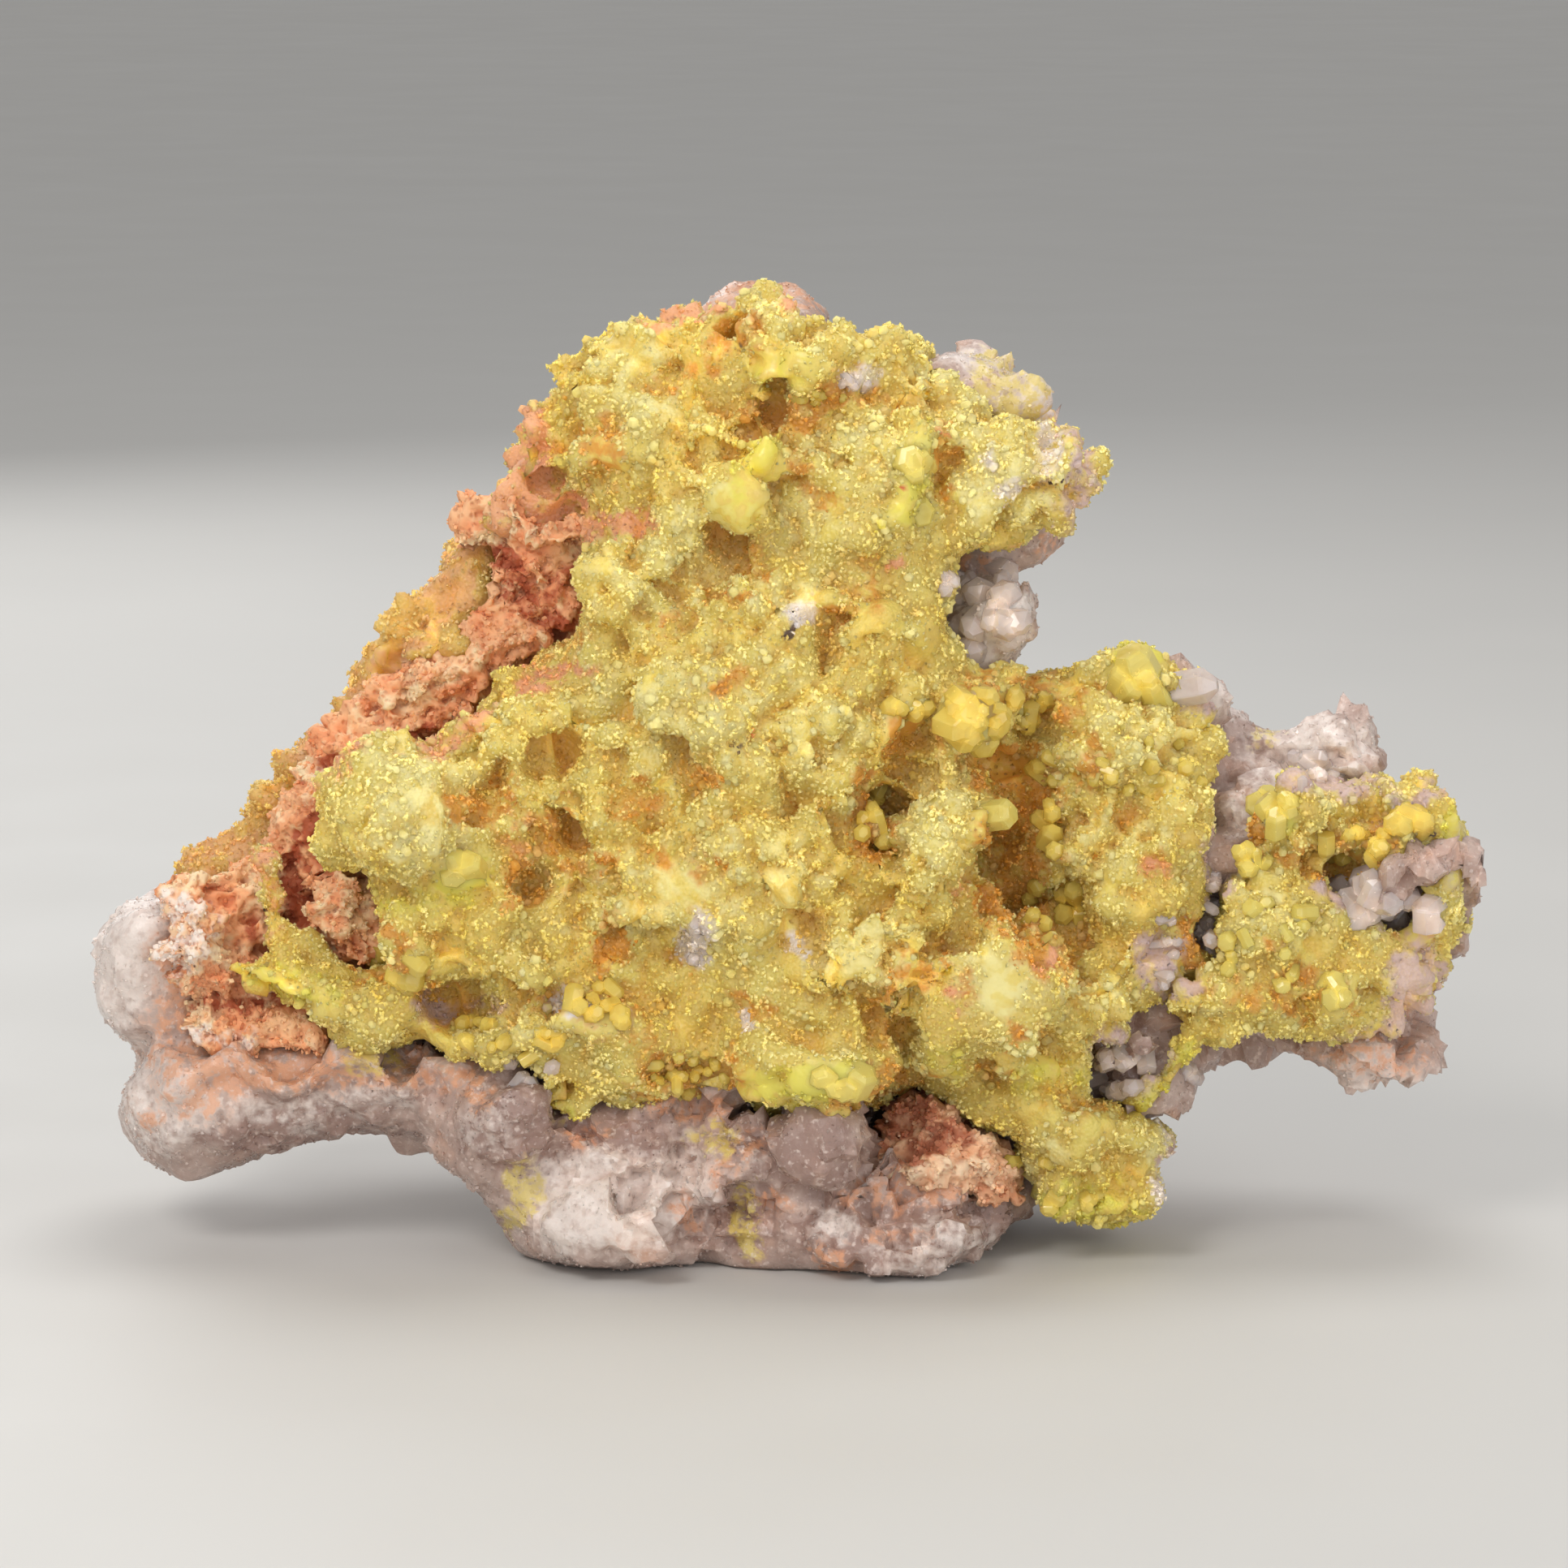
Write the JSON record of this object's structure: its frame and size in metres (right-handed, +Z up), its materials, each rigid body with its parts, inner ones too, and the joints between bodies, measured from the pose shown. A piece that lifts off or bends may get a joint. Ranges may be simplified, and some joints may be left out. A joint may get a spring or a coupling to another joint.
{
  "type": "ettringite on calcite specimen",
  "caption": "Natural mineral specimen: a calcite stone with yellow ettringite crusts and iron-stained porous rock, standing on its foot.",
  "frame": {"origin": "on the flat of the foot that the stone rests on, near its middle", "axes": "+Z up, -Y towards the showing face with the yellow crust, +X to the right as that face is seen"},
  "size_m": [0.0806, 0.0327, 0.0553],
  "materials": {
    "calcite": "translucent mauve-white to grey-lilac calcite, glassy on its crystals and sugary where broken",
    "ettringite": "sugary yellow crust of tiny glistening crystals, amber in its hollows",
    "ochre_crust": "ochre-stained sugary crust",
    "porous_rock": "dull salmon-red, full of pores"
  },
  "bodies": {
    "root": {"calcite_stone": "calcite", "ettringite_main_crust": "ettringite", "ettringite_right_crust": "ettringite", "ettringite_slope_crust": "ochre_crust", "stained_porous_band": "porous_rock", "stained_porous_pocket": "porous_rock"}
  },
  "joints": []
}
